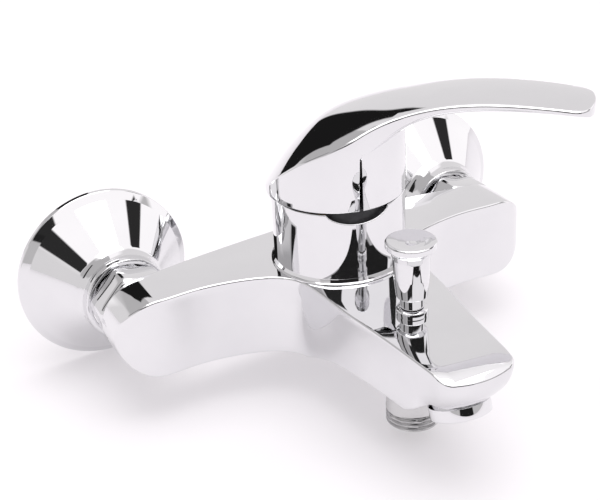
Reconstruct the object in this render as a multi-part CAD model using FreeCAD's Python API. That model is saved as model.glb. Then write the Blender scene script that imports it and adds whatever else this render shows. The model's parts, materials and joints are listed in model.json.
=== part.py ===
# Wall mounted bath and shower mixer: single lever, two wall unions, diverter on the spout.
# Millimetres. +X is right for a person facing the wall, +Y goes into the wall, +Z is up.
# The shapes are drawn about the middle of the body on the inlet axis, and moved at the end, so that
# the origin is the left (hot) wall stud on the face of the wall.
import FreeCAD
import Part
import math
import os

Vec = FreeCAD.Vector
X_AXIS = Vec(1, 0, 0)
Y_AXIS = Vec(0, 1, 0)
Z_AXIS = Vec(0, 0, 1)

# Wall side
spacing = 150.0            # hot to cold, centre to centre
drop = 8.0                 # eccentric offset of the unions: the mixer hangs this far below the pipes
g_half_r = 10.48           # G 1/2 male thread, major radius
g_three_quarter_r = 13.22  # G 3/4 male thread, major radius
stud_len = 16.0            # union thread that enters the wall
flange_r = 36.0            # escutcheon
flange_neck_r = 17.0
flange_depth = 28.0
skin = 1.2

# Body casting
wing_r = 16.5              # half height of the wings
wing_bore = 9.5
spout_bore = 7.0
chamber_z = 13.0           # floor of the cartridge chamber
hub_y = -67.6
hub_r = 25.6
hub_top = 45.2
tip_y = -168.5

# Spout fittings
diverter_y = -121.0
gland_seat = 15.5
aerator_tilt = 20.0
aerator_y = -151.6
boss_z = -8.6              # underside of the spout where the aerator's sloping boss begins
boss_y = -141.5
outlet_low = -30.0
thread_top = -23.2

# Lever
disc_z = 18.2              # underside of the fixed ceramic disc
swivel_rest = 50.0         # lever stands this far round towards +X
skirt_r = 26.2
skirt_low = 46.0
pivot_back = 4.0           # the tilt pin lies behind the cartridge axis
pivot_z = 36.0
socket_z = 54.0            # the spindle enters the lever here
socket_depth = 13.4
rear_bulge = 1.4
blade_len = 95.0
crown_r = 62.0
belly_r = 34.0
screw_z = 62.0

HALF = spacing / 2


def cyl(r, y_or_z0, length, at=(0, 0), axis="z"):
    """Round bar along z (at = x, y) or along y (at = x, z)."""
    if axis == "z":
        return Part.makeCylinder(r, length, Vec(at[0], at[1], y_or_z0), Z_AXIS)
    return Part.makeCylinder(r, length, Vec(at[0], y_or_z0, at[1]), Y_AXIS)


def tube(r_out, r_in, start, length, at=(0, 0), axis="z"):
    return cyl(r_out, start, length, at, axis).cut(cyl(r_in, start, length, at, axis))


def rod(r, a, b):
    a, b = Vec(*a), Vec(*b)
    return Part.makeCylinder(r, a.distanceToPoint(b), a, b - a)


def turned(points, at=(0, 0), axis="z"):
    """Solid of revolution; points are (radius, height), or an (r, h, 'arc') middle point of an arc."""
    edges = []
    i = 0
    pts = [Vec(p[0], 0, p[1]) for p in points]
    while i < len(points):
        j = (i + 1) % len(points)
        if len(points[j]) == 3:
            k = (i + 2) % len(points)
            edges.append(Part.Arc(pts[i], pts[j], pts[k]).toShape())
            i += 2
        else:
            edges.append(Part.makeLine(pts[i], pts[j]))
            i += 1
    solid = Part.Face(Part.Wire(edges)).revolve(Vec(0, 0, 0), Z_AXIS, 360)
    if axis == "y":
        solid.rotate(Vec(0, 0, 0), X_AXIS, 90)
        solid.translate(Vec(at[0], 0, at[1]))
    else:
        solid.translate(Vec(at[0], at[1], 0))
    return solid


def prism(points, direction):
    """Closed outline of 3-D points pushed along a vector."""
    wire = Part.makePolygon([Vec(*p) for p in points] + [Vec(*points[0])])
    return Part.Face(wire).extrude(Vec(*direction))


def curve(points):
    spline = Part.BSplineCurve()
    spline.interpolate([Vec(*p) for p in points])
    return spline.toShape()


def chamfer_bar(across, length, chamfer_r):
    """Hexagon bar along +Z whose corners are turned off to a cone."""
    r = across / math.sqrt(3)
    hexagon = [(r * math.cos(a), r * math.sin(a), 0) for a in [math.radians(60 * i) for i in range(6)]]
    bar = prism(hexagon, (0, 0, length))
    lead = r - chamfer_r
    cone = turned([(0, 0), (chamfer_r, 0), (r + 0.1, lead * 0.6), (r + 0.1, length - lead * 0.6),
                   (chamfer_r, length), (0, length)])
    return bar.common(cone)


# ---------------------------------------------------------------- body casting

def plan_outline():
    """Seen from above: two wings that flow into a tapering spout with a squared, bowed tip."""
    right_side = [(94, -47), (92.2, -53.5), (88, -60.2), (78, -64.3), (62, -64), (50, -65), (40, -67.4), (31, -71.5),
                  (25, -78), (22.6, -88), (21.3, -105), (19.4, -120), (17.3, -138), (16, -152), (15.2, -161)]
    front = curve([(x, y, 0) for x, y in right_side])
    other = curve([(-x, y, 0) for x, y in reversed(right_side)])
    corner = Part.Arc(Vec(15.2, -161, 0), Vec(14.0, -164.8, 0), Vec(10.4, -166.9, 0)).toShape()
    tip = Part.Arc(Vec(10.4, -166.9, 0), Vec(0, tip_y, 0), Vec(-10.4, -166.9, 0)).toShape()
    corner2 = Part.Arc(Vec(-10.4, -166.9, 0), Vec(-14.0, -164.8, 0), Vec(-15.2, -161, 0)).toShape()
    left_end = Part.makeLine(Vec(-94, -47, 0), Vec(-94, -43, 0))
    rear = curve([(-94, -43, 0), (-75, -43, 0), (-60, -40.8, 0), (-35, -37.6, 0), (0, -35.2, 0),
                  (35, -37.6, 0), (60, -40.8, 0), (75, -43, 0), (94, -43, 0)])
    right_end = Part.makeLine(Vec(94, -43, 0), Vec(94, -47, 0))
    return Part.Face(Part.Wire([front, corner, tip, corner2, other, left_end, rear, right_end]))


def bar_block():
    """Front view of the body: flat top and bottom, round ends about the inlet axes; runs to the spout tip."""
    low, high = Vec(0, 0, -wing_r), Vec(0, 0, wing_r)
    half = Vec(HALF, 0, 0)
    wire = Part.Wire([
        Part.makeLine(high - half, high + half),
        Part.Arc(high + half, half + Vec(wing_r, 0, 0), low + half).toShape(),
        Part.makeLine(low + half, low - half),
        Part.Arc(low - half, -half - Vec(wing_r, 0, 0), high - half).toShape()])
    block = Part.Face(wire).extrude(Vec(0, -150, 0))
    block.translate(Vec(0, -30, 0))
    return block


def above_spout():
    """Space over the falling top of the spout."""
    return prism([(-60, -94, wing_r), (-60, -175, wing_r - 2.2), (-60, -175, 40), (-60, -94, 40)], (120, 0, 0))


def below_spout():
    """Space under the spout and in front of its nose, seen from the side."""
    rise = math.tan(math.radians(aerator_tilt)) * (boss_y + 161.0)
    under = curve([(-60, boss_y, boss_z), (-60, -120, -8.6), (-60, -104, -9.6), (-60, -92, -12.4),
                   (-60, -80, -17.0)])
    drop_line = Part.makeLine(Vec(-60, -80, -17.0), Vec(-60, -80, -40))
    floor = Part.makeLine(Vec(-60, -80, -40), Vec(-60, -180, -40))
    ahead = Part.makeLine(Vec(-60, -180, -40), Vec(-60, -180, 11.2))
    lip = Part.makeLine(Vec(-60, -180, 11.2), Vec(-60, -168.9, 11.2))
    nose = curve([(-60, -168.9, 11.2), (-60, -167.6, 5.0), (-60, -164.6, 0.4), (-60, -161.0, boss_z + rise)])
    boss = Part.makeLine(Vec(-60, -161.0, boss_z + rise), Vec(-60, boss_y, boss_z))
    face = Part.Face(Part.Wire([under, drop_line, floor, ahead, lip, nose, boss]))
    return face.extrude(Vec(120, 0, 0))


def body_shell():
    plan = plan_outline()
    plan.translate(Vec(0, 0, -40))
    mass = plan.extrude(Vec(0, 0, 80)).common(bar_block())
    return mass.cut(above_spout()).cut(below_spout())


def hub_shell():
    return turned([(0, 8), (hub_r + 3.2, 8), (hub_r + 3.2, 15.9), (hub_r + 1.1, 16.6, "arc"),
                   (hub_r + 0.6, 18.6), (hub_r, 24), (hub_r, hub_top - 2.4),
                   (hub_r - 0.7, hub_top - 0.7, "arc"), (hub_r - 2.4, hub_top), (0, hub_top)], (0, hub_y))


def body_casting():
    body = body_shell().fuse(hub_shell())
    # cartridge chamber, thread for the retaining nut, and the seat of the bonnet ring
    body = body.cut(cyl(20.0, chamber_z, 50, (0, hub_y)))
    body = body.cut(cyl(21.4, 38.0, 20, (0, hub_y)))
    body = body.cut(cyl(22.6, 43.0, 20, (0, hub_y)))
    # scoop in the front lip of the hub
    body = body.cut(Part.makeCylinder(19.2, 20, Vec(0, hub_y - 14, 41.2 + 19.2), Vec(0, -1, 0)))
    for side in (-1, 1):
        x = side * HALF
        body = body.cut(cyl(10.45, -56, 14, (x, 0), "y"))
        body = body.cut(cyl(17.6, -42.6, 14, (x, 0), "y"))
        body = body.cut(rod(wing_bore, (x, -54, 0), (side * 22, -53, 0)))
        body = body.cut(rod(5.0, (side * 24, -53, 0), (side * 8, -60, 0)))
        body = body.cut(cyl(4.0, 0, chamber_z + 1, (side * 8, -60)))
    # mixed water: down from the cartridge, along the spout, through the diverter, to the aerator
    body = body.cut(cyl(4.2, 4, chamber_z - 3, (0, -78)))
    body = body.cut(rod(4.2, (0, -76, 4), (0, diverter_y, 4)))
    body = body.cut(rod(spout_bore, (0, -85, 3), (0, -112, 3)))
    body = body.cut(cyl(7.6, -2.0, 13.4, (0, diverter_y)))
    body = body.cut(cyl(4.9, 11.0, 12, (0, diverter_y)))
    body = body.cut(cyl(6.1, gland_seat, 12, (0, diverter_y)))
    body = body.cut(cyl(4.6, -12, 12, (0, diverter_y)))
    body = body.cut(cyl(8.0, -14, 8.0, (0, diverter_y)))
    body = body.cut(rod(3.2, (0, diverter_y, 5.5), (0, -148, 5.5)))
    body = body.cut(cyl(10.9, -20.0, 11.6, (0, diverter_y)))
    body = body.cut(tilted(cyl(9.8, -6.0, 14.0)))
    body = body.cut(tilted(cyl(6.0, 4.0, 8.0)))
    return body


# ---------------------------------------------------------------- wall side

def union(side):
    """Eccentric union: stud into the wall, cranked barrel, collar, and the thread for the union nut."""
    x = side * HALF
    stud = cyl(g_half_r, -1.0, stud_len + 1.0, (x, drop), "y")
    circles = []
    for r, y, z in ((g_half_r + 1.2, 0.0, drop), (g_half_r + 1.2, -5.0, drop),
                    (g_three_quarter_r - 0.6, -16.0, 0.0), (g_three_quarter_r - 0.6, -20.0, 0.0)):
        circles.append(Part.Wire(Part.makeCircle(r, Vec(x, y, z), Y_AXIS)))
    barrel = Part.makeLoft(circles, True, True)
    collar = cyl(14.3, -25.0, 5.0, (x, 0), "y")
    thread = cyl(g_three_quarter_r, -34.3, 9.4, (x, 0), "y")
    bores = []
    for r, y, z in ((6.8, stud_len + 1, drop), (6.8, -5.0, drop), (8.0, -16.0, 0.0), (8.0, -36.0, 0.0)):
        bores.append(Part.Wire(Part.makeCircle(r, Vec(x, y, z), Y_AXIS)))
    return stud.fuse([barrel, collar, thread]).cut(Part.makeLoft(bores, True, True)).removeSplitter()


def union_nut(side):
    nut = chamfer_bar(30.0, 13.4, 15.6)
    nut.rotate(Vec(0, 0, 0), Z_AXIS, 17)
    nut.rotate(Vec(0, 0, 0), X_AXIS, 90)
    nut.translate(Vec(side * HALF, -28.6, 0))
    nut = nut.cut(cyl(g_three_quarter_r + 0.08, -38.8, 12, (side * HALF, 0), "y"))
    return nut.cut(cyl(10.48, -44, 12, (side * HALF, 0), "y"))


def inlet_nipple(side):
    x = side * HALF
    stem = cyl(10.4, -55.5, 18, (x, 0), "y").fuse(cyl(12.9, -38.6, 2.3, (x, 0), "y"))
    return stem.cut(cyl(8.0, -60, 30, (x, 0), "y"))


def washer(side):
    return tube(12.9, 8.0, -36.3, 2.0, (side * HALF, 0), "y")


def check_valve(side):
    """Non-return insert: sleeve, three ribs and the closing cone."""
    x = side * HALF
    sleeve = tube(8.0, 6.2, -52, 14, (x, 0), "y")
    cone = Part.makeCone(1.2, 4.6, 7, Vec(x, -50, 0), Y_AXIS)
    insert = sleeve.fuse(cone)
    for i in range(3):
        rib = Part.makeBox(6.6, 3.0, 1.0, Vec(0, -46, -0.5))
        rib.rotate(Vec(0, 0, 0), Y_AXIS, 120 * i + 30)
        rib.translate(Vec(x, 0, 0))
        insert = insert.fuse(rib)
    return insert.removeSplitter()


def escutcheon(side):
    """Trumpet cover: bevelled rim, straight hollow flank and a neck that grips the union's collar."""
    wall = flange_neck_r - skin - 1.2
    outline = [(flange_r, 0), (flange_r, -1.8), (flange_r - 3.0, -4.0), (flange_neck_r + 1.1, -19.8),
               (flange_neck_r + 0.2, -21.9, "arc"), (flange_neck_r, -24.4), (flange_neck_r, -flange_depth),
               (wall, -flange_depth), (wall, -22.0), (flange_r - 4.6, -3.6), (flange_r - 3.6, 0)]
    return turned([(p[0], -p[1]) + tuple(p[2:]) for p in outline], (side * HALF, 0), "y")


# ---------------------------------------------------------------- cartridge

def at_hub(shape):
    """From lever axes (u along the blade, v across) to the hub, turned to the rest swivel."""
    shape.rotate(Vec(0, 0, 0), Z_AXIS, swivel_rest - 90)
    shape.translate(Vec(0, hub_y, 0))
    return shape


PORTS = ((-8.0, -60 - hub_y, 4.0), (8.0, -60 - hub_y, 4.0), (0.0, -78 - hub_y, 4.2))


def cartridge_base():
    base = cyl(19.9, chamber_z + 1.2, 4.0, (0, hub_y))
    for x, y, r in PORTS:
        base = base.cut(cyl(r, chamber_z, 8, (x, hub_y + y)))
    return base


def cartridge_seals():
    rings = [tube(r + 1.5, r, chamber_z, 1.2, (x, hub_y + y)) for x, y, r in PORTS]
    return Part.makeCompound(rings)


def disc_fixed():
    disc = cyl(17.0, disc_z, 3.4, (0, hub_y))
    for x, y, r in PORTS:
        disc = disc.cut(cyl(r - 0.8, disc_z - 1, 8, (x, hub_y + y)))
    return disc


def disc_moving():
    disc = cyl(12.4, disc_z + 3.42, 3.2)
    disc = disc.cut(cyl(8.4, disc_z + 2, 3.6))
    disc.translate(Vec(-1.0, 0, 0))
    return at_hub(disc)


def disc_carrier():
    """Plastic driver on the moving disc, with the slot that takes the end of the spindle."""
    plate = cyl(12.4, disc_z + 6.64, 3.4)
    plate.translate(Vec(-1.0, 0, 0))
    slot = Part.makeBox(5.6, 5.6, 8, Vec(-pivot_back - 2.8, -2.8, disc_z + 6.9))
    return at_hub(plate.cut(slot))


def cartridge_housing():
    shell = cyl(19.9, disc_z, 23.8, (0, hub_y))
    shell = shell.cut(cyl(17.05, disc_z, 3.4, (0, hub_y)))
    shell = shell.cut(cyl(18.4, disc_z + 3.4, 18.0, (0, hub_y)))
    return shell.cut(cyl(13.3, disc_z + 20, 10, (0, hub_y)))


def rotor():
    """Turns with the lever: a drum under the housing's lip, slotted for the spindle, with the tilt pin."""
    part = cyl(18.3, 28.8, 10.7).fuse(cyl(13.2, 39.0, 8.0)).removeSplitter()
    part = part.cut(Part.makeBox(16.8, 9.0, 30, Vec(-13.4, -4.5, 25)))
    pin_hole = Part.makeCylinder(1.6, 40, Vec(-pivot_back, -20, pivot_z), Y_AXIS)
    return at_hub(part.cut(pin_hole))


def pivot_pin():
    return at_hub(Part.makeCylinder(1.6, 24, Vec(-pivot_back, -12, pivot_z), Y_AXIS))


def spindle():
    top = socket_z + socket_depth - 0.2
    stem = Part.makeBox(7.0, 8.4, top - 30.4, Vec(-pivot_back - 3.5, -4.2, 30.4))
    neck = Part.makeCylinder(1.9, 4.0, Vec(-pivot_back, 0, 27.6), Z_AXIS)
    ball = Part.makeSphere(2.4, Vec(-pivot_back, 0, 27.6))
    part = stem.fuse([neck, ball])
    return at_hub(part.cut(Part.makeCylinder(1.65, 40, Vec(-pivot_back, -20, pivot_z), Y_AXIS)))


def retaining_nut():
    ring = tube(21.3, 14.6, 42.0, 2.6, (0, hub_y)).fuse(tube(21.3, 20.1, 38.2, 4.0, (0, hub_y)))
    ring = ring.removeSplitter()
    for i in range(6):
        notch = Part.makeBox(4, 3, 3, Vec(13.6, -1.5, 43.0))
        notch.rotate(Vec(0, 0, 0), Z_AXIS, 60 * i)
        notch.translate(Vec(0, hub_y, 0))
        ring = ring.cut(notch)
    return ring


def bonnet_ring():
    """Dome that closes the hub round the rotor's neck, under the lever."""
    return turned([(21.6, 43.1), (22.5, 43.1), (22.5, 45.4), (19.6, 48.0, "arc"), (15.4, 49.3), (15.4, 47.9),
                   (18.8, 46.8, "arc"), (21.6, 44.9)], (0, hub_y))


# ---------------------------------------------------------------- lever

TOP_LINE = [(-34, 36.0), (-26, 49.5), (-20, 58.2), (-12.6, 66.3), (-8.3, 70.1), (0, 75.0), (7, 77.7),
            (17, 80.7), (26, 82.8), (37, 85.2), (52, 87.0), (64, 87.2), (80, 86.2), (90, 85.0), (100, 83.6)]
UNDER_LINE = [(8, 52.0), (14, 59.0), (20, 65.6), (26, 71.2), (30, 74.0), (36, 77.0), (44, 79.2),
              (55, 80.6), (68, 80.9), (82, 80.4), (92, 79.6), (102, 78.4)]


def swept_block(line, radius, depth, upwards):
    """Solid under a surface that follows `line` along u and bows to an arc of `radius` across."""
    half = 32.0
    sag = radius - math.sqrt(radius * radius - half * half) if radius > half else radius * 0.9
    wires = []
    for u, z in line:
        edge_z = z - sag if not upwards else z + sag
        mid = Vec(u, 0, z)
        a, b = Vec(u, -half, edge_z), Vec(u, half, edge_z)
        low_a, low_b = Vec(u, -half, depth), Vec(u, half, depth)
        wires.append(Part.Wire([Part.Arc(a, mid, b).toShape(), Part.makeLine(b, low_b),
                                Part.makeLine(low_b, low_a), Part.makeLine(low_a, a)]))
    return Part.makeLoft(wires, True, False)


def blade_outline():
    """Seen from above: the blade leaves the round skirt, narrows a little and ends in a soft square."""
    near = [(14, 22.1), (20, 18.9), (27, 16.4), (36, 14.9), (48, 14.0), (62, 13.6), (78, 13.2), (88, 12.6)]
    left = curve([(u, v, 0) for u, v in near])
    right = curve([(u, -v, 0) for u, v in reversed(near)])
    c1 = Part.Arc(Vec(88, 12.6, 0), Vec(92.2, 10.6, 0), Vec(94.2, 7.0, 0)).toShape()
    tip = Part.Arc(Vec(94.2, 7.0, 0), Vec(blade_len, 0, 0), Vec(94.2, -7.0, 0)).toShape()
    c2 = Part.Arc(Vec(94.2, -7.0, 0), Vec(92.2, -10.6, 0), Vec(88, -12.6, 0)).toShape()
    back = Part.makeLine(Vec(14, -22.1, 0), Vec(14, 22.1, 0))
    return Part.Face(Part.Wire([left, c1, tip, c2, right, back]))


def skirt_bar(u):
    foot = turned([(0, skirt_low), (skirt_r - 1.6, skirt_low), (skirt_r - 0.4, skirt_low + 0.5, "arc"),
                   (skirt_r, skirt_low + 1.8), (skirt_r, 100), (0, 100)])
    foot.translate(Vec(u, 0, 0))
    return foot


def under_roof(top):
    """Space below the lever's sloping inner roof."""
    return prism([(-40, -40, 28), (40, -40, 28), (40, -40, top + 1.5), (2, -40, top), (-25.9, -40, top - 17),
                  (-40, -40, top - 25)], (0, 80, 0))


def lever():
    """Round cap that flows into the blade; at the back it is wide enough to dip over the hub."""
    plan = blade_outline()
    plan.translate(Vec(0, 0, 55))
    mass = plan.extrude(Vec(0, 0, 45)).fuse([skirt_bar(0), skirt_bar(-rear_bulge)]).removeSplitter()
    mass = mass.common(swept_block(TOP_LINE, crown_r, 30.0, False))
    belly = swept_block(UNDER_LINE, belly_r, 20.0, True).cut(cyl(skirt_r, 0, 120))
    mass = mass.cut(belly)
    room = cyl(skirt_r - 1.6, 30, 60)
    room.translate(Vec(-rear_bulge + 0.1, 0, 0))
    mass = mass.cut(room.common(under_roof(67.0)))
    boss = Part.makeCylinder(8.6, 20, Vec(-pivot_back + 1.0, 0, socket_z + 2), Z_AXIS)
    web = Part.makeBox(25, 9, 14, Vec(0, -4.5, 57.5))
    mass = mass.fuse([boss.common(under_roof(68.0)), web]).removeSplitter()
    mass = mass.cut(Part.makeBox(7.0, 8.4, socket_depth, Vec(-pivot_back - 3.5, -4.2, socket_z)))
    mass = mass.cut(Part.makeCylinder(2.5, 40, Vec(-pivot_back + 3.5, 0, screw_z), X_AXIS))
    mass = mass.cut(Part.makeCylinder(3.6, 10, Vec(22.0, 0, screw_z), X_AXIS))
    return at_hub(mass)


def set_screw():
    screw = Part.makeCylinder(2.5, 8.0, Vec(-pivot_back + 3.5, 0, screw_z), X_AXIS)
    key = prism([(0, 1.44 * math.cos(math.radians(a)), screw_z + 1.44 * math.sin(math.radians(a)))
                 for a in range(0, 360, 60)], (3.0, 0, 0))
    key.translate(Vec(-pivot_back + 8.6, 0, 0))
    return at_hub(screw.cut(key))


def index_plug():
    plug = Part.makeCylinder(3.6, 5.0, Vec(22.0, 0, screw_z), X_AXIS)
    return at_hub(plug.common(cyl(skirt_r - 0.1, 40, 60)))


# ---------------------------------------------------------------- diverter

def gland():
    """Collar screwed into the top of the spout; the stem slides through it."""
    low = gland_seat
    part = turned([(0, 11.4), (4.85, 11.4), (4.85, low), (5.9, low), (5.9, low + 2.2),
                   (5.5, low + 2.7, "arc"), (5.0, low + 2.9), (0, low + 2.9)], (0, diverter_y))
    part = part.cut(cyl(2.05, 0, 40, (0, diverter_y)))
    return part.cut(cyl(3.4, low, 4, (0, diverter_y)))


def gland_oring():
    return tube(3.4, 2.04, gland_seat, 1.6, (0, diverter_y))


def stem():
    part = cyl(2.0, 0.4, 37.0, (0, diverter_y))
    return part.fuse(cyl(3.1, 1.2, 0.8, (0, diverter_y))).removeSplitter()


def spring():
    """Return spring between the stem's flange and the gland: a coil made of short straight lengths."""
    turns, radius, wire = 4, 3.3, 0.35
    height = 8.4
    per_turn = 20
    sections = []
    for i in range(turns * per_turn + 1):
        a = 2 * math.pi * i / per_turn
        spot = Vec(radius * math.cos(a), radius * math.sin(a), height * i / (turns * per_turn))
        heading = Vec(-math.sin(a), math.cos(a), height / turns / (2 * math.pi * radius))
        ring = Part.Wire(Part.makePolygon(circle_points(spot, heading, wire)))
        sections.append(ring)
    coil = Part.makeLoft(sections, True, True)
    coil.translate(Vec(0, diverter_y, 2.5))
    return coil


def circle_points(spot, heading, r):
    """Ten-sided ring round a point, square to a heading, closed."""
    heading = Vec(heading).normalize()
    side = heading.cross(Z_AXIS).normalize()
    top = side.cross(heading)
    angles = [2 * math.pi * i / 10 for i in range(10)] + [0.0]
    return [spot + side * (r * math.cos(a)) + top * (r * math.sin(a)) for a in angles]


def valve_disc():
    return tube(6.6, 2.0, -1.9, 3.1, (0, diverter_y))


def knob():
    """Pull knob: neck ring, tapered body and a dished cap."""
    low = 18.7
    part = turned([(0, low), (4.4, low), (4.4, low + 3.6), (5.9, low + 4.4), (6.6, low + 12, "arc"),
                   (6.8, low + 19.6), (7.6, low + 22.0, "arc"), (9.2, low + 23.8), (9.4, low + 25.2),
                   (9.1, low + 26.4), (5.0, low + 25.4, "arc"), (1.0, low + 25.1), (0, low + 25.1)],
                  (0, diverter_y))
    return part.cut(cyl(2.0, 0, 37.4, (0, diverter_y)))


# ---------------------------------------------------------------- outlets

def shower_nipple():
    thread = cyl(g_half_r, outlet_low + 0.8, thread_top - outlet_low - 0.8, (0, diverter_y))
    lead = Part.makeCone(g_half_r - 0.8, g_half_r, 0.8, Vec(0, diverter_y, outlet_low), Z_AXIS)
    plain = cyl(10.2, thread_top, -8.6 - thread_top, (0, diverter_y))
    spigot = cyl(7.95, -10.0, 4.0, (0, diverter_y))
    part = thread.fuse([lead, plain, spigot])
    part = part.cut(cyl(6.6, outlet_low - 1, 16, (0, diverter_y)))
    return part.cut(cyl(4.6, outlet_low, 40, (0, diverter_y)))


def shower_check_valve():
    sleeve = tube(6.6, 5.0, -28.0, 12.0, (0, diverter_y))
    cross = Part.makeBox(10.4, 1.4, 4, Vec(-5.2, diverter_y - 0.7, -24))
    cross = cross.fuse(Part.makeBox(1.4, 10.4, 4, Vec(-0.7, diverter_y - 5.2, -24)))
    return sleeve.fuse([cross, cyl(2.6, -25, 6, (0, diverter_y))]).removeSplitter()


def tilted(shape):
    """From aerator axes (z up its bore, origin at the boss face) to the spout tip."""
    shape.rotate(Vec(0, 0, 0), X_AXIS, -aerator_tilt)
    slope = math.tan(math.radians(aerator_tilt))
    shape.translate(Vec(0, aerator_y, boss_z + slope * (boss_y - aerator_y)))
    return shape


def aerator_housing():
    """Chromed sleeve: threaded part in the spout, collar below it."""
    part = turned([(9.7, -0.2), (11.2, -0.2), (11.2, -4.2), (10.8, -4.7, "arc"), (10.2, -5.0), (8.8, -5.0),
                   (8.6, -4.0), (8.6, 6.4), (9.7, 6.4)])
    return tilted(part)


def aerator_insert():
    """Plastic jet former with a grid of webs at its mouth."""
    part = tube(8.55, 7.4, -3.8, 9.2)
    for i in range(-2, 3):
        half = math.sqrt(7.6 ** 2 - (i * 2.6) ** 2)
        part = part.fuse([Part.makeBox(0.6, 2 * half, 1.6, Vec(i * 2.6 - 0.3, -half, -3.4)),
                          Part.makeBox(2 * half, 0.6, 1.6, Vec(-half, i * 2.6 - 0.3, -3.4))])
    return tilted(part.removeSplitter())


def aerator_washer():
    return tilted(tube(9.7, 6.4, 6.4, 1.6))


SIDES = {"left": -1, "right": 1}
SIDED = {"union": union, "union_nut": union_nut, "inlet_nipple": inlet_nipple, "union_washer": washer,
         "check_valve": check_valve, "escutcheon": escutcheon}
SINGLE = {"body_casting": body_casting, "cartridge_base": cartridge_base, "cartridge_seals": cartridge_seals,
          "disc_fixed": disc_fixed, "disc_moving": disc_moving, "disc_carrier": disc_carrier,
          "cartridge_housing": cartridge_housing, "cartridge_rotor": rotor, "tilt_pin": pivot_pin,
          "lever_spindle": spindle, "retaining_nut": retaining_nut, "bonnet_ring": bonnet_ring,
          "lever": lever, "set_screw": set_screw, "index_plug": index_plug, "diverter_gland": gland,
          "gland_oring": gland_oring, "diverter_stem": stem, "diverter_spring": spring,
          "diverter_valve": valve_disc, "diverter_knob": knob, "shower_nipple": shower_nipple,
          "shower_check_valve": shower_check_valve, "aerator_housing": aerator_housing,
          "aerator_insert": aerator_insert, "aerator_washer": aerator_washer}


def save(name, shape):
    shape.translate(Vec(HALF, 0, -drop))
    solids = len(shape.Solids)
    print("%-20s solids %d valid %s volume %.0f" % (name, solids, shape.isValid(), shape.Volume))
    shape.exportStep("parts/%s.step" % name)


os.makedirs("parts", exist_ok=True)
for node, make in SINGLE.items():
    save(node, make())
for node, make in SIDED.items():
    for word, sign in SIDES.items():
        save("%s_%s" % (node, word), make(sign))
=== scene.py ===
import bpy
import bmesh
import json
import math
import numpy as np
from mathutils import Matrix, Vector


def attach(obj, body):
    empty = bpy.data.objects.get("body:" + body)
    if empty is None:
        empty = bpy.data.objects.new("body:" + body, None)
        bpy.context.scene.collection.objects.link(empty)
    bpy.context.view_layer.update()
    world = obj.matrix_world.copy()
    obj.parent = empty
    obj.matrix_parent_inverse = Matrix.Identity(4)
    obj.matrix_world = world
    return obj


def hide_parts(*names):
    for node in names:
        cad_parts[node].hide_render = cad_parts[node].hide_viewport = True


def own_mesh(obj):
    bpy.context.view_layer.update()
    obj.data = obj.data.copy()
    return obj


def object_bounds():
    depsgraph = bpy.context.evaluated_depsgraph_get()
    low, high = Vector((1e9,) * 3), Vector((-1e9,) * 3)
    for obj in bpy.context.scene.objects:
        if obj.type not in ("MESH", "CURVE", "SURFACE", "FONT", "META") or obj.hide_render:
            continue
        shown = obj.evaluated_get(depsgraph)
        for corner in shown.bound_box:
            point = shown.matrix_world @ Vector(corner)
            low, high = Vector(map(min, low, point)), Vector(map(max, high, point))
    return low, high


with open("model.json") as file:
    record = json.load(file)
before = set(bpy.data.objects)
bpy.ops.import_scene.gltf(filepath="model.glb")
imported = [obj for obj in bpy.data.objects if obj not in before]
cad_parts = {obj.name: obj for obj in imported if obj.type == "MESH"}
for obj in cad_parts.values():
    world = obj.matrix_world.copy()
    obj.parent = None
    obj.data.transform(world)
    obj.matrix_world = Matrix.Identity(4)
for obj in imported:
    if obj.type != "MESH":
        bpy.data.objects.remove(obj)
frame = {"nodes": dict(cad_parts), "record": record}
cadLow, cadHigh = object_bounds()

# Lengths are millimetres about the middle of the inlet axis.
# put() turns them into metres in the CAD frame.
shift = (75.0, 0.0, -8.0)
halfSpacing = 75.0
hubY = -67.6
knobY = -121.0
swivel = math.radians(50 - 90)


# shader maths

class Wire:    # a socket that can be added, multiplied and compared
    def __init__(self, tree, socket):
        self.tree = tree
        self.socket = socket

    def join(self, operation, other, swap=False):
        node = self.tree.nodes.new("ShaderNodeMath")
        node.operation = operation
        first, second = (other, self) if swap else (self, other)
        for place, value in ((0, first), (1, second)):
            if isinstance(value, Wire):
                self.tree.links.new(value.socket, node.inputs[place])
            else:
                node.inputs[place].default_value = value
        return Wire(self.tree, node.outputs[0])

    def __add__(self, other):
        return self.join("ADD", other)

    def __radd__(self, other):
        return self.join("ADD", other)

    def __sub__(self, other):
        return self.join("SUBTRACT", other)

    def __rsub__(self, other):
        return self.join("SUBTRACT", other, True)

    def __mul__(self, other):
        return self.join("MULTIPLY", other)

    def __rmul__(self, other):
        return self.join("MULTIPLY", other)

    def __truediv__(self, other):
        return self.join("DIVIDE", other)

    def clipped(self):
        return self.join("MAXIMUM", 0.0).join("MINIMUM", 1.0)


def addNode(tree, kind, settings=None, inputs=None):
    node = tree.nodes.new(kind)
    for name, value in (settings or {}).items():
        setattr(node, name, value)
    for name, value in (inputs or {}).items():
        if isinstance(value, Wire):
            tree.links.new(value.socket, node.inputs[name])
        else:
            node.inputs[name].default_value = value
    return node


def mixColors(tree, amount, first, second):
    node = addNode(tree, "ShaderNodeMix", {"data_type": "RGBA"})
    tree.links.new(amount.socket, node.inputs["Factor"])
    node.inputs[6].default_value = (*first, 1)
    node.inputs[7].default_value = (*second, 1)
    return Wire(tree, node.outputs[2])


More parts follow.
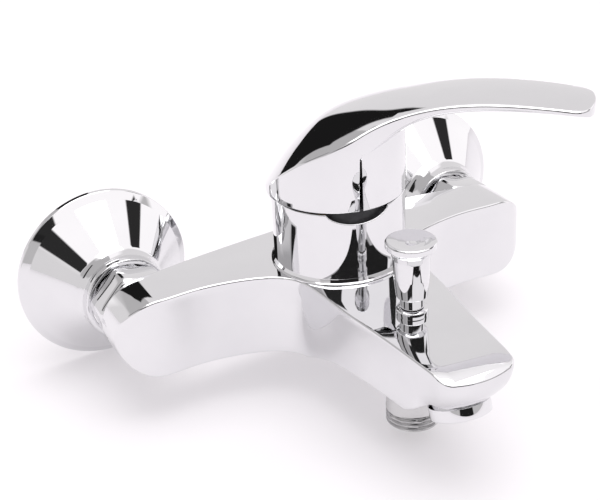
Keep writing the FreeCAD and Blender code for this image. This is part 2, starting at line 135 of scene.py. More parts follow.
# cloudy tint, fine grain in the roughness and shallow scratches
def finish(name, base, worn, metallic, rough, spread, grain, depth, stretch=(1, 1, 1)):
    made = bpy.data.materials.new(name)
    made.use_nodes = True
    tree = made.node_tree
    shader = tree.nodes["Principled BSDF"]
    spot = addNode(tree, "ShaderNodeTexCoord")
    mapping = addNode(tree, "ShaderNodeMapping", None, {"Scale": stretch})
    tree.links.new(spot.outputs["Object"], mapping.inputs["Vector"])
    place = Wire(tree, mapping.outputs[0])
    cloud = addNode(tree, "ShaderNodeTexNoise", None, {"Vector": place, "Scale": 38.0, "Detail": 3.0})
    fine = addNode(tree, "ShaderNodeTexNoise", None, {"Vector": place, "Scale": grain, "Detail": 5.0})
    scuffs = {"Vector": place, "Scale": grain * 0.35, "Detail": 2.0, "Distortion": 1.5}
    marks = addNode(tree, "ShaderNodeTexNoise", None, scuffs)
    cloudy = Wire(tree, cloud.outputs[0])
    grainy = Wire(tree, fine.outputs[0])
    marked = ((Wire(tree, marks.outputs[0]) - 0.62) * 9.0).clipped()
    tint = mixColors(tree, (cloudy * 1.4 - 0.2).clipped(), base, worn)
    tree.links.new(tint.socket, shader.inputs["Base Color"])
    roughness = (rough + (grainy - 0.5) * spread + marked * spread * 0.6).clipped()
    tree.links.new(roughness.socket, shader.inputs["Roughness"])
    shader.inputs["Metallic"].default_value = metallic
    bump = addNode(tree, "ShaderNodeBump", None, {"Strength": 0.25, "Distance": depth})
    tree.links.new((grainy + marked * 0.5).socket, bump.inputs["Height"])
    tree.links.new(bump.outputs[0], shader.inputs["Normal"])
    return made


chromeLook = {"base": (0.80, 0.80, 0.81), "worn": (0.74, 0.74, 0.755), "metallic": 1.0,
              "rough": 0.035, "spread": 0.02, "grain": 420.0, "depth": 0.0000015}
threadLook = {"base": (0.62, 0.62, 0.62), "worn": (0.5, 0.5, 0.5), "metallic": 1.0,
              "rough": 0.14, "spread": 0.08, "grain": 700.0, "depth": 0.000004}
brassLook = {"base": (0.72, 0.52, 0.24), "worn": (0.58, 0.4, 0.17), "metallic": 1.0,
             "rough": 0.28, "spread": 0.16, "grain": 600.0, "depth": 0.00001, "stretch": (1, 8, 1)}
steelLook = {"base": (0.58, 0.58, 0.6), "worn": (0.46, 0.46, 0.48), "metallic": 1.0,
             "rough": 0.25, "spread": 0.12, "grain": 800.0, "depth": 0.000006}
rubberLook = {"base": (0.022, 0.022, 0.024), "worn": (0.05, 0.05, 0.05), "metallic": 0.0,
              "rough": 0.7, "spread": 0.2, "grain": 900.0, "depth": 0.00002}
darkLook = {"base": (0.03, 0.03, 0.033), "worn": (0.055, 0.055, 0.06), "metallic": 0.0,
            "rough": 0.45, "spread": 0.15, "grain": 700.0, "depth": 0.00001}
paleLook = {"base": (0.78, 0.78, 0.75), "worn": (0.66, 0.66, 0.62), "metallic": 0.0,
            "rough": 0.42, "spread": 0.14, "grain": 600.0, "depth": 0.00001}
ceramicLook = {"base": (0.86, 0.84, 0.8), "worn": (0.78, 0.75, 0.7), "metallic": 0.0,
               "rough": 0.16, "spread": 0.08, "grain": 900.0, "depth": 0.000003}
chrome = finish("chromePlate", **chromeLook)
knobChrome = finish("knobChrome", **{**chromeLook, "rough": 0.03})
threadChrome = finish("threadChrome", **threadLook)
rawBrass = finish("rawBrass", **brassLook)
steel = finish("drawnSteel", **steelLook)
rubber = finish("blackRubber", **rubberLook)
darkPlastic = finish("darkPlastic", **darkLook)
palePlastic = finish("palePlastic", **paleLook)
ceramic = finish("lappedCeramic", **ceramicLook)

slotLooks = {"chrome_body": chrome, "chrome_lever": chrome, "chrome_flange": chrome,
             "chrome_nut": chrome, "chrome_trim": chrome, "chrome_knob": knobChrome,
             "chrome_nipple": threadChrome, "brass": rawBrass, "steel": steel,
             "black_rubber": rubber, "black_plastic": darkPlastic, "white_plastic": palePlastic,
             "ceramic": ceramic}
nodeSlots = {s["node"]: s["material_slot"] for s in frame["record"]["subparts"]}
for nodeName, piece in frame["nodes"].items():
    piece.data.materials.clear()
    piece.data.materials.append(slotLooks[nodeSlots[nodeName]])
print("materials ready")


# mesh helpers

def splineThrough(points, count):    # natural cubic, spaced by chord length
    pts = np.array(points, float)
    t = np.concatenate([[0], np.cumsum(np.linalg.norm(np.diff(pts, axis=0), axis=1))])
    h = np.diff(t)
    n = len(pts)
    system = np.eye(n)
    right = np.zeros((n, pts.shape[1]))
    for i in range(1, n - 1):
        system[i, i - 1:i + 2] = h[i - 1], 2 * (h[i - 1] + h[i]), h[i]
        right[i] = 6 * ((pts[i + 1] - pts[i]) / h[i] - (pts[i] - pts[i - 1]) / h[i - 1])
    bend = np.linalg.solve(system, right)
    out = []
    for u in np.linspace(0, t[-1], count):
        i = min(int(np.searchsorted(t, u, side="right")) - 1, n - 2)
        a, b = (t[i + 1] - u) / h[i], (u - t[i]) / h[i]
        out.append(a * pts[i] + b * pts[i + 1]
                   + ((a ** 3 - a) * bend[i] + (b ** 3 - b) * bend[i + 1]) * h[i] ** 2 / 6)
    return [tuple(p) for p in out]


def signedTurn(a, b):
    return (b - a + math.pi) % (2 * math.pi) - math.pi


def arcPoints(first, middle, last, count):    # points on the circle through three points
    ax, ay = first
    bx, by = middle
    cx, cy = last
    d = 2 * (ax * (by - cy) + bx * (cy - ay) + cx * (ay - by))
    aa, bb, cc = ax ** 2 + ay ** 2, bx ** 2 + by ** 2, cx ** 2 + cy ** 2
    ux = (aa * (by - cy) + bb * (cy - ay) + cc * (ay - by)) / d
    uy = (aa * (cx - bx) + bb * (ax - cx) + cc * (bx - ax)) / d
    r = math.hypot(ax - ux, ay - uy)
    a0, a1, a2 = (math.atan2(p[1] - uy, p[0] - ux) for p in (first, middle, last))
    sweep = signedTurn(a0, a1) + signedTurn(a1, a2)
    return [(ux + r * math.cos(a0 + sweep * i / count), uy + r * math.sin(a0 + sweep * i / count))
            for i in range(count + 1)]


def softened(points, steps=5):    # a corner's third value is its radius
    out = []
    n = len(points)
    for i, p in enumerate(points):
        r = p[2] if len(p) > 2 else 0
        if not r:
            out.append((p[0], p[1]))
            continue
        here = Vector((p[0], p[1]))
        before = (Vector(points[i - 1][:2]) - here).normalized()
        after = (Vector(points[(i + 1) % n][:2]) - here).normalized()
        half = before.angle(after) / 2
        reach = r / math.tan(half)
        centre = here + (before + after).normalized() * (r / math.sin(half))
        start, end = here + before * reach, here + after * reach
        middle = centre + (here - centre).normalized() * r
        out += arcPoints(tuple(start), tuple(middle), tuple(end), steps)
    return out


def put(bm, name, body, look, nodes=(), sharp=38, place=None):
    bmesh.ops.remove_doubles(bm, verts=bm.verts, dist=0.0008)
    bmesh.ops.dissolve_degenerate(bm, edges=bm.edges, dist=0.0005)
    bmesh.ops.recalc_face_normals(bm, faces=bm.faces)
    if place is not None:
        bmesh.ops.transform(bm, matrix=place, verts=bm.verts)
    bmesh.ops.transform(bm, matrix=Matrix.Scale(0.001, 4) @ Matrix.Translation(shift), verts=bm.verts)
    for face in bm.faces:
        face.smooth = True
    for edge in bm.edges:
        edge.smooth = len(edge.link_faces) == 2 and edge.calc_face_angle(0) < math.radians(sharp)
    mesh = bpy.data.meshes.new(name)
    bm.to_mesh(mesh)
    bm.free()
    mesh.materials.append(look)
    made = bpy.data.objects.new(name, mesh)
    bpy.context.scene.collection.objects.link(made)
    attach(made, body)
    if nodes:
        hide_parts(*nodes)
    print(name, len(mesh.polygons), "faces")
    return made


def lathe(profile, segments=128):    # turned solid about +Z from a closed (radius, height) outline
    bm = bmesh.new()
    verts = [bm.verts.new((max(r, 0.0), 0, z)) for r, z in profile]
    edges = [bm.edges.new(p) for p in zip(verts, verts[1:] + verts[:1])]
    bmesh.ops.spin(bm, geom=verts + edges, cent=(0, 0, 0), axis=(0, 0, 1), angle=2 * math.pi, steps=segments,
                   use_merge=True, use_duplicate=False)
    return bm


def joinRings(bm, rings):    # walls between rings of equal count, each ring closed on itself
    for low, high in zip(rings, rings[1:]):
        for i in range(len(low)):
            n = (i + 1) % len(low)
            bm.faces.new((low[i], low[n], high[n], high[i]))


def slabFrom(outline, layers):    # stack of rings along an outline; a layer is (inset, height code)
    pts = [Vector(p) for p in outline]
    n = len(pts)
    outward = []
    for i in range(n):
        heading = (pts[(i + 1) % n] - pts[i]).normalized() + (pts[i] - pts[i - 1]).normalized()
        outward.append(Vector((heading.y, -heading.x)).normalized())
    bm = bmesh.new()
    rings = []
    for inset, code in layers:
        ring = [p - o * inset for p, o in zip(pts, outward)]
        rings.append([bm.verts.new((p.x, p.y, code)) for p in ring])
    joinRings(bm, rings)
    bm.faces.new(reversed(rings[0]))
    bm.faces.new(rings[-1])
    return bm


def sliced(bm, axis, stations):
    for at in stations:
        spot = Vector((0, 0, 0))
        spot[axis] = at
        normal = Vector((0, 0, 0))
        normal[axis] = 1
        bmesh.ops.bisect_plane(bm, geom=bm.verts[:] + bm.edges[:] + bm.faces[:], dist=1e-5, plane_co=spot,
                               plane_no=normal)
    return bm


def edgeLayers(radius, steps, walls):    # codes near -100 and 100 are true distances from the two ends
    low = [(radius * (1 - math.sin(a)), -100 + radius * (1 - math.cos(a)))
           for a in [math.pi / 2 * i / steps for i in range(steps + 1)]]
    high = [(inset, -code) for inset, code in reversed(low)]
    return low + [(0, w) for w in walls] + high


def heightAt(code, low, high, radius):
    k = min(1.0, max(high - low, 0.01) / (2.2 * radius))
    if code > 50:
        return high - (100 - code) * k
    if code < -50:
        return low + (code + 100) * k
    return low + radius * k + (high - low - 2 * radius * k) * (code / 100 + 0.5)


def smoothStep(x, a, b):
    t = min(1.0, max(0.0, (x - a) / (b - a)))
    return t * t * (3 - 2 * t)


along = Matrix.Rotation(math.pi / 2, 4, "X")      # turned pieces that point out of the wall
sides = {"left": -1, "right": 1}


# body casting

casting = {"wing": 16.5, "end": 91.42, "rim": 0.8, "slope": 2.2 / 81, "slopeFrom": -94, "roll": 2.1,
           "rearY": -43.0, "wingUnderTo": -80, "bossY": -141.5, "bossZ": -8.6, "bossSlope": 0.364,
           "tipLow": -1.5, "nose": 7.6, "noseTop": 12.2, "noseDeep": 14.0, "taper": 0.24}


def castingOutline():
    front = [(94, -47), (92.2, -53.5), (88, -60.2), (78, -64.3), (62, -64), (50, -65), (40, -67.4),
             (31, -71.5), (25, -78), (22.6, -88), (21.3, -105), (19.4, -120), (17.3, -138), (16, -152),
             (15.2, -161)]
    right = [p for p in splineThrough(front, 150) if p[0] <= casting["end"]]
    right.insert(0, (casting["end"], right[0][1] + 0.6))
    corner = arcPoints((15.2, -161), (13.7, -165.0), (10.2, -166.9), 10)[1:]
    tip = arcPoints((10.2, -166.9), (0, -168.5), (-10.2, -166.9), 24)[1:-1]
    rear = splineThrough([(-94, -43), (-75, -43), (-60, -40.8), (-35, -37.6), (0, -35.2), (35, -37.6),
                          (60, -40.8), (75, -43), (94, -43)], 91)
    rear = [p for p in rear if abs(p[0]) < casting["end"] - 0.4]
    rightHalf = right + corner
    leftHalf = [(-x, y) for x, y in reversed(rightHalf)]
    back = [(-casting["end"], casting["rearY"])] + rear + [(casting["end"], casting["rearY"])]
    return list(reversed(rightHalf + tip + leftHalf + back))


def wingHalf(x):
    over = abs(x) - halfSpacing
    return math.sqrt(max(casting["wing"] ** 2 - max(over, 0) ** 2, 0.0))


underLine = splineThrough([(casting["wingUnderTo"], -17.0), (-92, -12.4), (-104, -9.6), (-120, -8.6),
                           (casting["bossY"], casting["bossZ"])], 60)


def castingLow(x, y):
    if y > casting["wingUnderTo"]:
        return -wingHalf(x)
    if y > casting["bossY"]:
        under = float(np.interp(-y, [-p[0] for p in underLine], [p[1] for p in underLine]))
        return max(-casting["wing"], under)
    return min(casting["tipLow"], casting["bossZ"] + (casting["bossY"] - y) * casting["bossSlope"])


def castingHigh(x, y):
    top = wingHalf(x) - max(0.0, casting["slopeFrom"] - y) * casting["slope"]
    return top - casting["roll"] * smoothStep(-y, 155, 171) ** 1.3


bm = slabFrom(castingOutline(), edgeLayers(casting["rim"], 4, (-40, -24, -8, 8, 24, 40)))
for side in sides.values():
    ends = [halfSpacing + casting["wing"] * math.sin(math.radians(a)) for a in range(0, 84, 4)]
    sliced(bm, 0, [side * x for x in ends])
sliced(bm, 0, [-26, -18, -10, 10, 18, 26])
sliced(bm, 1, [casting["wingUnderTo"], casting["slopeFrom"]] + [-82 - 3 * i for i in range(20)]
       + [casting["bossY"]] + [-144 - 1.4 * i for i in range(17)])
for v in bm.verts:
    x, y, code = v.co
    v.co.z = heightAt(code, castingLow(x, y), castingHigh(x, y), casting["rim"])
    pull = smoothStep(-y, 142, 163)
    down = min(1.0, max(0.0, (casting["noseTop"] - v.co.z) / casting["noseDeep"]))
    v.co.y += casting["nose"] * pull * down ** 2.2
    v.co.x *= 1 - casting["taper"] * smoothStep(-y, 148, 168) * down ** 1.6
put(bm, "castBody", "fixture", chrome, ["body_casting"], sharp=30)

hub = {"r": 25.6, "foot": 26.8, "inside": 22.6, "seat": 21.4, "low": 8, "seam": 45.2,
       "scoopFrom": -38.0, "scoopTo": 18.0, "scoop": 4.2, "lean": 1.6}
bm = lathe(softened([(hub["seat"], hub["low"]), (hub["foot"], hub["low"]), (hub["foot"], 16.9, 0.15),
                     (26.2, 17.3, 0.5), (hub["r"], 18.6, 1.0), (hub["r"], hub["seam"], 0.5),
                     (hub["inside"], hub["seam"], 0.3), (hub["inside"], 38), (hub["seat"], 37)], 6), 240)
scoopMiddle = (hub["scoopFrom"] + hub["scoopTo"]) / 2
scoopHalf = (hub["scoopTo"] - hub["scoopFrom"]) / 2
for v in bm.verts:
    turned = math.degrees(math.atan2(v.co.x, -v.co.y))
    share = max(0.0, 1 - ((turned - scoopMiddle) / scoopHalf) ** 2)
    if v.co.z > 38.5:
        lean = smoothStep(hub["r"] - math.hypot(v.co.x, v.co.y), 0.0, 3.0) * hub["lean"]
        v.co.z -= (hub["scoop"] + lean) * share ** 0.6 * smoothStep(v.co.z, 38.4, 44.5)
put(bm, "hubShell", "fixture", chrome, sharp=40, place=Matrix.Translation((0, hubY, 0)))

shadeRing = {"r": 22.55, "inside": 21.45, "low": 37.5, "neck": 15.5}      # dark dome behind the scoop: painted shade in place of the shaded bonnet ring
bm = lathe(softened([(shadeRing["inside"], shadeRing["low"]), (shadeRing["r"], shadeRing["low"]), (shadeRing["r"], 45.2, 0.3),
                     (19.7, 48.0, 1.5), (shadeRing["neck"], 49.3), (shadeRing["neck"], 47.9), (18.8, 46.8),
                     (shadeRing["inside"], 44.9)], 4), 128)
# the dark plastic look on this dome is painted shade for the recess behind the scoop
put(bm, "hubScoopShade", "fixture", darkPlastic, ["bonnet_ring"], sharp=40,
    place=Matrix.Translation((0, hubY, 0)))


# wall fittings

cover = {"r": 36.0, "rim": 1.9, "bevel": 3.1, "neck": 17.0, "inside": 14.9, "deep": 28.0}
for word, side in sides.items():
    bm = lathe(softened([(34.0, 0), (cover["r"], 0), (cover["r"], cover["rim"], 0.7),
                         (cover["r"] - cover["bevel"], 4.1, 0.35), (18.1, 19.8, 6.0), (17.1, 23.6, 8.0),
                         (cover["neck"], cover["deep"], 0.5), (cover["inside"], cover["deep"], 0.2),
                         (cover["inside"], 22.0), (32.0, 3.6), (33.0, 0.3)], 7), 200)
    put(bm, "coverShell_" + word, "fixture", chrome, ["escutcheon_" + word],
        place=Matrix.Translation((side * halfSpacing, 0, 0)) @ along)

nut = {"flat": 15.0, "corner": 16.9, "from": 28.6, "long": 13.4, "bore": 13.3, "mouth": 10.6, "ledge": 10.2,
       "turn": 0.297, "round": 144, "soft": 2.2}
nutEdge = [(0, 1.5), (0.5, 0.75), (1.6, 0.15), (3.0, 0), (10.4, 0), (11.8, 0.15), (12.9, 0.75),
           (nut["long"], 1.5)]                    # (height, how far the edge is drawn in)
nutInside = [(nut["long"], nut["mouth"]), (nut["ledge"], nut["mouth"]), (nut["ledge"], nut["bore"]),
             (0, nut["bore"])]


def hexReach(a):    # six flats whose corners are turned off
    local = (a + math.pi / 6) % (math.pi / 3) - math.pi / 6
    flatR = nut["flat"] / math.cos(local)
    blend = math.exp(-nut["soft"] * flatR) + math.exp(-nut["soft"] * (nut["corner"] - 0.2))
    return min(-math.log(blend) / nut["soft"], nut["corner"])


for word, side in sides.items():
    bm = bmesh.new()
    rings = []
    angles = [2 * math.pi * i / nut["round"] for i in range(nut["round"])]
    for level, inset in nutEdge:
        reaches = [(hexReach(a) - inset, a + nut["turn"]) for a in angles]
        rings.append([bm.verts.new((r * math.cos(a), r * math.sin(a), level)) for r, a in reaches])
    for level, r in nutInside:
        turns = [a + nut["turn"] for a in angles]
        rings.append([bm.verts.new((r * math.cos(a), r * math.sin(a), level)) for a in turns])
    joinRings(bm, rings + rings[:1])
    put(bm, "hexNut_" + word, "nut_" + word, chrome, ["union_nut_" + word], sharp=50,
        place=Matrix.Translation((side * halfSpacing, -nut["from"], 0)) @ along)


# lever

lever = {"skirt": 26.2, "low": 46.0, "bulge": 1.4, "long": 95.0, "crown": 62.0, "belly": 34.0,
         "wall": 1.25, "edge": 0.7, "least": 1.3, "shoulder": (14, 22.1)}
topLine = splineThrough([(-34, 36.0), (-26, 49.5), (-20, 58.2), (-12.6, 66.3), (-8.3, 70.1), (0, 75.0),
                         (7, 77.7), (17, 80.7), (26, 82.8), (37, 85.2), (52, 87.0), (64, 87.2), (80, 86.2),
                         (90, 85.0), (100, 83.6)], 300)
bellyLine = splineThrough([(8, 52.0), (14, 59.0), (20, 65.6), (26, 71.2), (30, 74.0), (36, 77.0), (44, 79.2),
                           (55, 80.6), (68, 80.9), (82, 80.4), (92, 79.6), (102, 78.4)], 240)
leverTurn = Matrix.Translation((0, hubY, 0)) @ Matrix.Rotation(swivel, 4, "Z")


def sag(v, radius):
    return radius - math.sqrt(radius * radius - min(abs(v), radius * 0.95) ** 2)


def leverTop(u, v):
    return float(np.interp(u, [p[0] for p in topLine], [p[1] for p in topLine])) - sag(v, lever["crown"])


def leverBelly(u, v):
    return float(np.interp(u, [p[0] for p in bellyLine], [p[1] for p in bellyLine])) + sag(v, lever["belly"])


leverSpan = math.atan2(lever["shoulder"][1], lever["shoulder"][0])


def leverOutline():
    blade = splineThrough([lever["shoulder"], (20, 18.9), (27, 16.4), (36, 14.9), (48, 14.0), (62, 13.6),
                           (78, 13.2), (88, 12.6)], 60)
    corner = arcPoints((88, 12.6), (92.2, 10.6), (94.2, 7.0), 10)[1:]
    tip = arcPoints((94.2, 7.0), (lever["long"], 0), (94.2, -7.0), 12)[1:-1]
    start = leverSpan
    rear = []
    for i in range(1, 150):
        a = start + (2 * math.pi - 2 * start) * i / 150
        x, y = lever["skirt"] * math.cos(a), lever["skirt"] * math.sin(a)
        rear.append((x - lever["bulge"] * smoothStep(-math.cos(a), -0.15, 0.9), y))
    half = blade + corner
    return [(u, -v) for u, v in half] + tip[::-1] + half[::-1] + rear


bm = slabFrom(leverOutline(), [(lever["wall"], -100)] + edgeLayers(lever["edge"], 4, (-30, 0, 30)))
sliced(bm, 0, [-24 + 2.5 * i for i in range(48)])
sliced(bm, 1, [-20, -16, -12, -9, -6, -3, 0, 3, 6, 9, 12, 16, 20])
bladeFrom = 13.0
for v in bm.verts:
    u, w, code = v.co
    high = leverTop(u, w)
    atSkirt = math.hypot(u, w) > lever["skirt"] - 0.75
    if u > bladeFrom:
        low = leverBelly(u, w)
    elif atSkirt or u < -24.5:
        low = lever["low"]
    else:
        roof = high - float(np.interp(u, (-24, -8), (2.6, 6.5)))    # thin where the cap dips over the hub
        low = max(lever["low"] + 1.0, roof)
    v.co.z = heightAt(code, min(low, high - lever["least"]), high, lever["edge"])
put(bm, "leverShell", "handle", chrome, ["lever"], sharp=30, place=leverTurn)

# front of the skirt, under the blade
bm = bmesh.new()
columns = []
for i in range(97):
    a = -leverSpan + 2 * leverSpan * i / 96
    insets = [0.5, 0.12, 0.0, 0.0, 2.4, 2.4]
    reach = [lever["skirt"] - inset for inset in insets]
    roof = leverBelly(max(8.0, lever["skirt"] * math.cos(a)), lever["skirt"] * math.sin(a)) + 0.9
    heights = [lever["low"], lever["low"] + 0.15, lever["low"] + 0.6, roof, roof, lever["low"]]
    columns.append([bm.verts.new((r * math.cos(a), r * math.sin(a), z)) for r, z in zip(reach, heights)])
joinRings(bm, columns)
bm.faces.new(reversed(columns[0]))
bm.faces.new(columns[-1])
put(bm, "skirtFront", "handle", chrome, sharp=40, place=leverTurn)


# diverter knob and collar

knob = {"bore": 2.0, "neck": 4.4, "waist": 6.5, "head": 9.4, "low": 18.7}
low = knob["low"]
bm = lathe(softened([(knob["bore"], low), (knob["neck"], low, 0.3), (knob["neck"], low + 3.6, 0.3),
                     (5.8, low + 4.4, 0.6), (knob["waist"], low + 12, 6), (6.75, low + 19.6, 3),
                     (7.5, low + 22.2, 2), (9.3, low + 24.0, 0.6), (knob["head"], low + 25.9, 0.5),
                     (8.9, low + 26.4, 0.4), (5.0, low + 25.5, 6), (knob["bore"], low + 25.2)], 5), 96)
put(bm, "pullKnob", "diverter", knobChrome, ["diverter_knob"], sharp=45,
    place=Matrix.Translation((0, knobY, 0)))
button = {"r": 2.2, "low": low + 24.9, "top": low + 25.2}
bm = lathe(softened([(0.0, button["low"]), (button["r"], button["low"]), (button["r"], button["top"], 0.05),
                     (0.0, button["top"])], 2), 48)
put(bm, "knobCentre", "diverter", knobChrome, place=Matrix.Translation((0, knobY, 0)))

collar = {"bore": 2.1, "stem": 4.85, "r": 5.9, "low": 11.4, "seat": 15.5, "top": 18.4}
bm = lathe(softened([(collar["bore"], collar["low"]), (collar["stem"], collar["low"]),
                     (collar["stem"], collar["seat"]), (collar["r"], collar["seat"], 0.05),
                     (collar["r"], 17.9, 0.5), (4.9, collar["top"], 0.3), (3.0, collar["top"], 0.2),
                     (collar["bore"], 17.8)], 4), 96)
put(bm, "knobCollar", "fixture", chrome, ["diverter_gland"], sharp=45,
    place=Matrix.Translation((0, knobY, 0)))

spring = {"radius": 3.3, "wire": 0.35, "turns": 4, "low": 2.5, "long": 8.4, "perTurn": 40, "round": 10,
          "heldAt": (0.075, -0.121, 0.0033), "keep": 0.235}
bm = bmesh.new()
rings = []
for i in range(spring["turns"] * spring["perTurn"] + 1):
    a = 2 * math.pi * i / spring["perTurn"]
    outward = Vector((math.cos(a), math.sin(a), 0))
    spot = outward * spring["radius"]
    spot.z = spring["low"] + spring["long"] * i / (spring["turns"] * spring["perTurn"])
    ring = []
    for k in range(spring["round"]):
        b = 2 * math.pi * k / spring["round"]
        around = outward * math.cos(b) + Vector((0, 0, math.sin(b)))
        ring.append(bm.verts.new(spot + around * spring["wire"]))
    rings.append(ring)
joinRings(bm, rings)
bm.faces.new(reversed(rings[0]))
bm.faces.new(rings[-1])
returnSpring = put(bm, "returnSpring", "fixture", steel, ["diverter_spring"], sharp=50,
                   place=Matrix.Translation((0, knobY, 0)))
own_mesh(returnSpring)


# shower outlet and aerator

outlet = {"major": 10.48, "minor": 9.35, "pitch": 1.814, "low": -29.9, "top": -23.4, "plain": 10.3,
          "spigot": 7.9, "bore": 6.6, "throat": 4.7, "round": 72, "rowsPerPitch": 8}
threadLong = outlet["top"] - outlet["low"]
levels = int(threadLong / outlet["pitch"] * outlet["rowsPerPitch"])
angles = [2 * math.pi * i / outlet["round"] for i in range(outlet["round"])]


def threadRadius(z, turned):    # turned is a share of one full turn
    phase = ((z - outlet["low"]) / outlet["pitch"] - turned) % 1.0
    tooth = smoothStep(abs(phase - 0.5) * 2, 0.22, 0.8)
    fade = smoothStep(z, outlet["low"], outlet["low"] + 0.9)
    end = smoothStep(z, outlet["top"] - 1.6, outlet["top"])
    return outlet["minor"] + (outlet["major"] - outlet["minor"]) * max(tooth * fade, end)


bm = bmesh.new()
rings = []
for j in range(levels + 1):
    z = outlet["low"] + threadLong * j / levels
    reaches = [(threadRadius(z, i / outlet["round"]), a) for i, a in enumerate(angles)]
    rings.append([bm.verts.new((r * math.cos(a), r * math.sin(a), z)) for r, a in reaches])
for r, z in ((outlet["plain"], -23.1), (outlet["plain"], -8.7), (outlet["spigot"], -8.7),
             (outlet["spigot"], -6.2), (outlet["throat"], -6.2), (outlet["throat"], -15.0),
             (outlet["bore"], -15.0), (outlet["bore"], outlet["low"]), (9.0, -30.0)):
    rings.append([bm.verts.new((r * math.cos(a), r * math.sin(a), z)) for a in angles])
joinRings(bm, rings + rings[:1])
put(bm, "threadedOutlet", "fixture", threadChrome, ["shower_nipple"], sharp=40,
    place=Matrix.Translation((0, knobY, 0)))

aerator = {"at": (0, -151.6, -4.93), "tilt": -20, "r": 11.2, "thread": 9.7, "inside": 8.65,
           "low": -5.0, "top": 6.4, "shoulder": -0.15}
aeratorPlace = Matrix.Translation(aerator["at"]) @ Matrix.Rotation(math.radians(aerator["tilt"]), 4, "X")
bm = lathe(softened([(aerator["thread"], aerator["shoulder"]), (aerator["r"], aerator["shoulder"], 0.15),
                     (aerator["r"], aerator["low"], 0.7), (8.9, aerator["low"], 0.3),
                     (aerator["inside"], -4.0), (aerator["inside"], aerator["top"]),
                     (aerator["thread"], aerator["top"])], 5), 128)
put(bm, "aeratorSleeve", "fixture", chrome, ["aerator_housing"], sharp=45, place=aeratorPlace)
print("object ready")


# studio

def plainLook(name, color, glow):
    made = bpy.data.materials.new(name)
    made.use_nodes = True
    shader = made.node_tree.nodes["Principled BSDF"]
    shader.inputs["Base Color"].default_value = (*color, 1)
    shader.inputs["Roughness"].default_value = 0.9
    shader.inputs["Specular IOR Level"].default_value = 0.0
    shader.inputs["Emission Color"].default_value = (*color, 1)
    shader.inputs["Emission Strength"].default_value = glow
    return made


floor = {"color": (0.56, 0.545, 0.56), "glow": 0.72, "half": 3.0, "under": 0.0006}
floorLook = plainLook("paleFloor", floor["color"], floor["glow"])
floorMesh = bmesh.new()
bmesh.ops.create_grid(floorMesh, x_segments=2, y_segments=2, size=floor["half"])
bmesh.ops.translate(floorMesh, vec=(0, -0.1, cadLow.z - floor["under"]), verts=floorMesh.verts)
mesh = bpy.data.meshes.new("studioFloor")
floorMesh.to_mesh(mesh)
floorMesh.free()
mesh.materials.append(floorLook)
studioFloor = bpy.data.objects.new("studioFloor", mesh)
bpy.context.scene.collection.objects.link(studioFloor)

studio = {"over": 1.25, "tint": (1.0, 0.975, 0.985)}
# grey walls, dark cards and gaps round the object, in degrees; bearing 0 lies straight out of the wall
patches = [
    {"az": (112, 200), "el": (-6, 46), "soft": 9.0, "level": 0.88},
    {"az": (-178, -72), "el": (24, 60), "soft": 14.0, "level": 0.55},
    {"az": (-150, -36), "el": (-8, 18), "soft": 5.0, "level": 0.84},
    {"az": (-62, 66), "el": (-8, 20), "soft": 3.0, "level": 0.60},
    {"az": (-32, 14), "el": (-8, 18), "soft": 1.2, "level": 0.015},
    {"az": (-46, 58), "el": (18, 26.5), "soft": 1.2, "level": 0.02},
    {"az": (-64, -28), "el": (24, 41), "soft": 1.5, "level": 0.03},
    {"az": (66, 88), "el": (27, 40), "soft": 1.5, "level": 0.03},
    {"az": (166, 192), "el": (-8, 39), "soft": 1.0, "level": 0.012},
    {"az": (-116, -104), "el": (20, 50), "soft": 1.5, "level": 0.02},
]
world = bpy.data.worlds.new("softWorld")
bpy.context.scene.world = world
world.use_nodes = True
sky = world.node_tree
background = sky.nodes["Background"]
aim = addNode(sky, "ShaderNodeTexCoord")
parts = addNode(sky, "ShaderNodeSeparateXYZ")
sky.links.new(aim.outputs["Generated"], parts.inputs[0])
east, north, high = (Wire(sky, parts.outputs[i]) for i in range(3))
bearing = east.join("ARCTAN2", north * -1.0) * (180 / math.pi)
elevation = high.join("ARCSINE", 0.0) * (180 / math.pi)


def between(value, low, high, soft):
    rise = ((value - (low - soft)) / soft).clipped()
    fall = (((high + soft) - value) / soft).clipped()
    return rise * fall


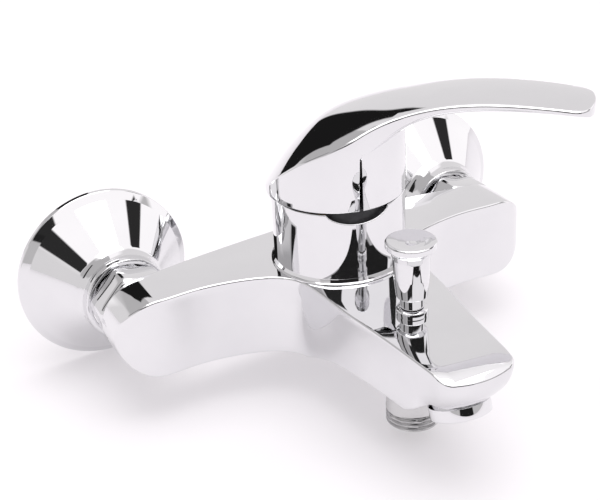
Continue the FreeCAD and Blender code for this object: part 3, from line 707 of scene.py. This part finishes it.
light = Wire(sky, addNode(sky, "ShaderNodeValue").outputs[0])
light.socket.default_value = studio["over"]
for patch in patches:
    lowAz, highAz = patch["az"]
    inside = between(bearing, lowAz, highAz, patch["soft"])
    if highAz > 180:
        inside = inside + between(bearing + 360.0, lowAz, highAz, patch["soft"])
    mask = (inside * between(elevation, *patch["el"], patch["soft"])).clipped()
    light = light * (1.0 - mask) + mask * patch["level"]
tinted = addNode(sky, "ShaderNodeCombineColor")
for channel, share in zip(("Red", "Green", "Blue"), studio["tint"]):
    sky.links.new((light * share).socket, tinted.inputs[channel])
sky.links.new(tinted.outputs[0], background.inputs["Color"])


topBox = {"at": (0.1, -0.1, 1.3), "facing": (0, -0.08, 0), "size": 1.2, "power": 9.0}
lampData = bpy.data.lights.new("topBox", "AREA")
lampData.shape = "RECTANGLE"
lampData.size = topBox["size"]
lampData.size_y = topBox["size"]
lampData.energy = topBox["power"]
lampObject = bpy.data.objects.new("topBox", lampData)
lampObject.location = topBox["at"]
lampObject.rotation_mode = "QUATERNION"
lampAim = Vector(topBox["facing"]) - Vector(topBox["at"])
lampObject.rotation_quaternion = lampAim.to_track_quat("-Z", "Y")
bpy.context.scene.collection.objects.link(lampObject)

cameraSet = {"azimuth": -26.2, "elevation": 27.5, "roll": -3.2, "lens": 90.0,
             "at": (-0.1672, -0.5244, 0.2797)}
az = math.radians(cameraSet["azimuth"])
el = math.radians(cameraSet["elevation"])
roll = math.radians(cameraSet["roll"])
back = Vector((math.sin(az) * math.cos(el), -math.cos(az) * math.cos(el), math.sin(el)))
right = Vector((math.cos(az), math.sin(az), 0))
up = back.cross(right)
rolledRight = right * math.cos(roll) + up * math.sin(roll)
rolledUp = up * math.cos(roll) - right * math.sin(roll)
cameraData = bpy.data.cameras.new("mainCamera")
cameraData.lens = cameraSet["lens"]
cameraData.sensor_width = 36.0
cameraData.clip_start = 0.01
mainCamera = bpy.data.objects.new("mainCamera", cameraData)
mainCamera.rotation_mode = "QUATERNION"
mainCamera.rotation_quaternion = Matrix((rolledRight, rolledUp, back)).transposed().to_quaternion()
mainCamera.location = cameraSet["at"]
bpy.context.scene.collection.objects.link(mainCamera)
bpy.context.scene.camera = mainCamera
bpy.context.scene.view_settings.view_transform = "Standard"
